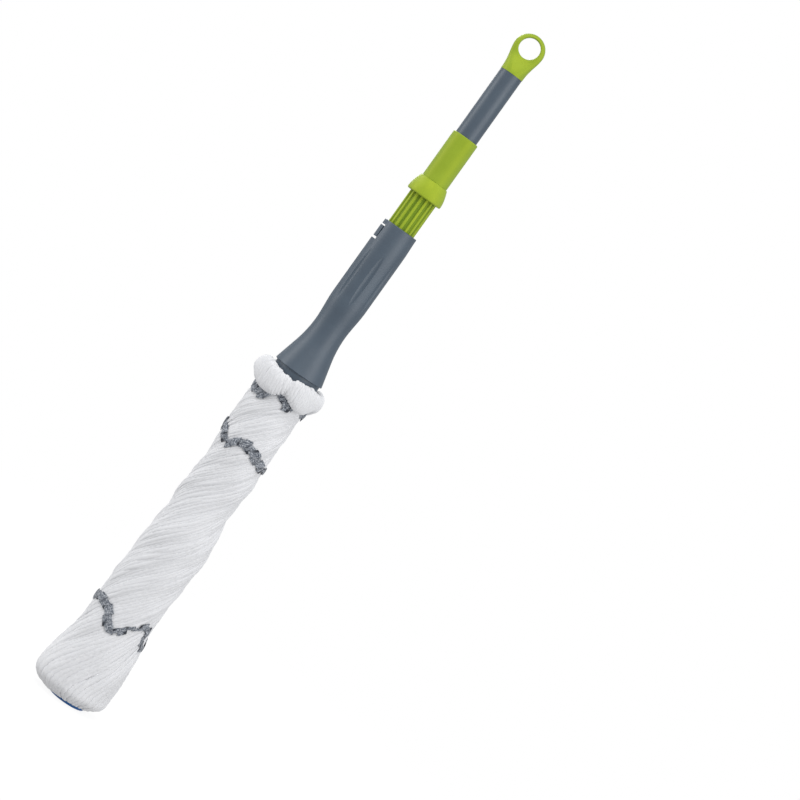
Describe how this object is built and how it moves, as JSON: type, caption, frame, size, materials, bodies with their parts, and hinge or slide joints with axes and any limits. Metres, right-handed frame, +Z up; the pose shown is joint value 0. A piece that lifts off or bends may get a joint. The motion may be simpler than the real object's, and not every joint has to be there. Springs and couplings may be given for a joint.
{
  "type": "twist mop",
  "caption": "Self-wringing mop with a telescopic pole: a ratcheting grip slides and twists on the pole to wring the yarn head.",
  "frame": {"origin": "middle of the foot disc's underside, on the pole's axis", "axes": "+Z up the pole from the foot to the hanging ring; -Y is the front, and the hanging hole runs along Y"},
  "size_m": [0.075, 0.075, 0.7351],
  "materials": {
    "light_steel": "satin",
    "slate_steel": "satin",
    "lime_plastic": "satin",
    "slate_plastic": "satin",
    "white_plastic": "satin",
    "blue_plastic": "satin",
    "plain_steel": "satin",
    "white_yarn": "matte",
    "grey_tape": "matte"
  },
  "bodies": {
    "pole": {"lower_tube": "light_steel", "tube_sleeve": "lime_plastic", "ratchet_collar": "lime_plastic", "collar_pin": "plain_steel", "foot_plug": "white_plastic", "foot_disc": "blue_plastic", "foot_clamp_plate": "white_plastic", "foot_washer": "plain_steel", "foot_screw": "plain_steel", "yarn_strands": "white_yarn", "tape_middle": "grey_tape", "tape_lower": "grey_tape"},
    "slider": {"guide_ring": "white_plastic"},
    "grip": {"grip_housing": "slate_plastic", "yarn_collar": "slate_plastic", "yarn_clamp_ring": "white_plastic", "clamp_screws": "plain_steel", "yarn_roll": "white_yarn", "tape_upper": "grey_tape"},
    "pawl": {"ratchet_pawl": "slate_plastic"},
    "lock": {"lock_cam": "white_plastic"},
    "upper": {"upper_tube": "slate_steel", "hanging_cap": "lime_plastic", "lock_plug": "white_plastic", "lock_washer": "plain_steel", "lock_screw": "plain_steel"}
  },
  "joints": [
    {"name": "wringer_slide", "type": "slide", "parent": "pole", "child": "slider", "axis": [0, 0, 1], "range_m": [-0.29, 0.032], "deforming": ["yarn_strands", "tape_middle", "tape_lower"]},
    {"name": "grip_twist", "type": "hinge", "parent": "slider", "child": "grip", "pos_m": [0, 0, 0.382], "axis": [0, 0, 1], "range_deg": [-480, 180]},
    {"name": "pawl_flex", "type": "hinge", "parent": "grip", "child": "pawl", "pos_m": [-0.01267, 0.01026, 0.511], "axis": [0, 0, -1], "range_deg": [0, 4], "stiffness_Nm_per_rad": 0.3},
    {"name": "pole_extend", "type": "slide", "parent": "pole", "child": "lock", "axis": [0, 0, 1], "range_m": [0, 0.46]},
    {"name": "lock_twist", "type": "hinge", "parent": "lock", "child": "upper", "pos_m": [0, 0, 0.06], "axis": [0, 0, 1], "range_deg": [0, 90]}
  ]
}
